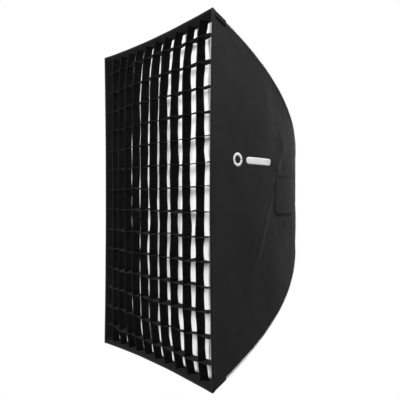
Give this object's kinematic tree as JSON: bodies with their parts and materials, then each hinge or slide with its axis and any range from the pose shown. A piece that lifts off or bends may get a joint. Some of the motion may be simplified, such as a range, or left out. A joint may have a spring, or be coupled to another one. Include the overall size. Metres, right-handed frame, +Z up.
{
  "type": "softbox",
  "caption": "Rectangular light-modifying softbox with bowed cloth sides, a white front diffuser, a fabric grid and a turning speed ring.",
  "frame": {"origin": "centre of the seat on the ring insert that meets the lamp head", "axes": "+Z up along the tall side, +X to the right seen from behind the lamp's back, +Y from the open front towards the lamp"},
  "size_m": [0.8, 0.6719, 1.2],
  "materials": {
    "shell_cloth": "matt black coated nylon",
    "piping_cloth": "grey satin binding",
    "grid_cloth": "matt black nylon webbing",
    "binding_tape": "black woven tape",
    "diffusion_cloth": "white translucent nylon",
    "rod_metal": "satin black",
    "ring_metal": "satin black",
    "insert_metal": "turned",
    "black_plastic": "fine grain"
  },
  "bodies": {
    "lamp_insert": {"ring_insert": "insert_metal", "retaining_ring": "insert_metal"},
    "softbox": {"shell_panel_left": "shell_cloth", "shell_panel_right": "shell_cloth", "shell_panel_top": "shell_cloth", "shell_panel_bottom": "shell_cloth", "seam_piping_top_right": "piping_cloth", "rod_top_right": "rod_metal", "rod_tip_top_right": "black_plastic", "corner_pocket_top_right": "shell_cloth", "rod_socket_top_right": "black_plastic", "seam_piping_top_left": "piping_cloth", "rod_top_left": "rod_metal", "rod_tip_top_left": "black_plastic", "corner_pocket_top_left": "shell_cloth", "rod_socket_top_left": "black_plastic", "seam_piping_bottom_right": "piping_cloth", "rod_bottom_right": "rod_metal", "rod_tip_bottom_right": "black_plastic", "corner_pocket_bottom_right": "shell_cloth", "rod_socket_bottom_right": "black_plastic", "seam_piping_bottom_left": "piping_cloth", "rod_bottom_left": "rod_metal", "rod_tip_bottom_left": "black_plastic", "corner_pocket_bottom_left": "shell_cloth", "rod_socket_bottom_left": "black_plastic", "front_binding": "binding_tape", "lip_hook_tape": "binding_tape", "grid_border": "grid_cloth", "grid_upright_01": "grid_cloth", "grid_upright_02": "grid_cloth", "grid_upright_03": "grid_cloth", "grid_upright_04": "grid_cloth", "grid_upright_05": "grid_cloth", "grid_upright_06": "grid_cloth", "grid_upright_07": "grid_cloth", "grid_upright_08": "grid_cloth", "grid_upright_09": "grid_cloth", "grid_upright_10": "grid_cloth", "grid_rail_01": "grid_cloth", "grid_rail_02": "grid_cloth", "grid_rail_03": "grid_cloth", "grid_rail_04": "grid_cloth", "grid_rail_05": "grid_cloth", "grid_rail_06": "grid_cloth", "grid_rail_07": "grid_cloth", "grid_rail_08": "grid_cloth", "grid_rail_09": "grid_cloth", "grid_rail_10": "grid_cloth", "grid_rail_11": "grid_cloth", "grid_rail_12": "grid_cloth", "grid_rail_13": "grid_cloth", "grid_rail_14": "grid_cloth", "front_diffuser": "diffusion_cloth", "inner_baffle": "diffusion_cloth", "rear_skirt": "shell_cloth", "speed_ring": "ring_metal"},
    "access_flap": {"access_flap": "shell_cloth"},
    "lock_knob": {"lock_knob": "black_plastic"}
  },
  "joints": [
    {"name": "box_turn", "type": "hinge", "parent": "lamp_insert", "child": "softbox", "pos_m": [0, 0, 0], "axis": [0, 1, 0], "continuous": true},
    {"name": "knob_turn", "type": "hinge", "parent": "softbox", "child": "lock_knob", "pos_m": [0, -0.011, -0.1], "axis": [0, 0, -1], "range_deg": [-360, 0]},
    {"name": "flap_open", "type": "hinge", "parent": "softbox", "child": "access_flap", "pos_m": [0.21282, -0.13714, 0.02], "axis": [0, 0, 1], "range_deg": [0, 120]}
  ]
}
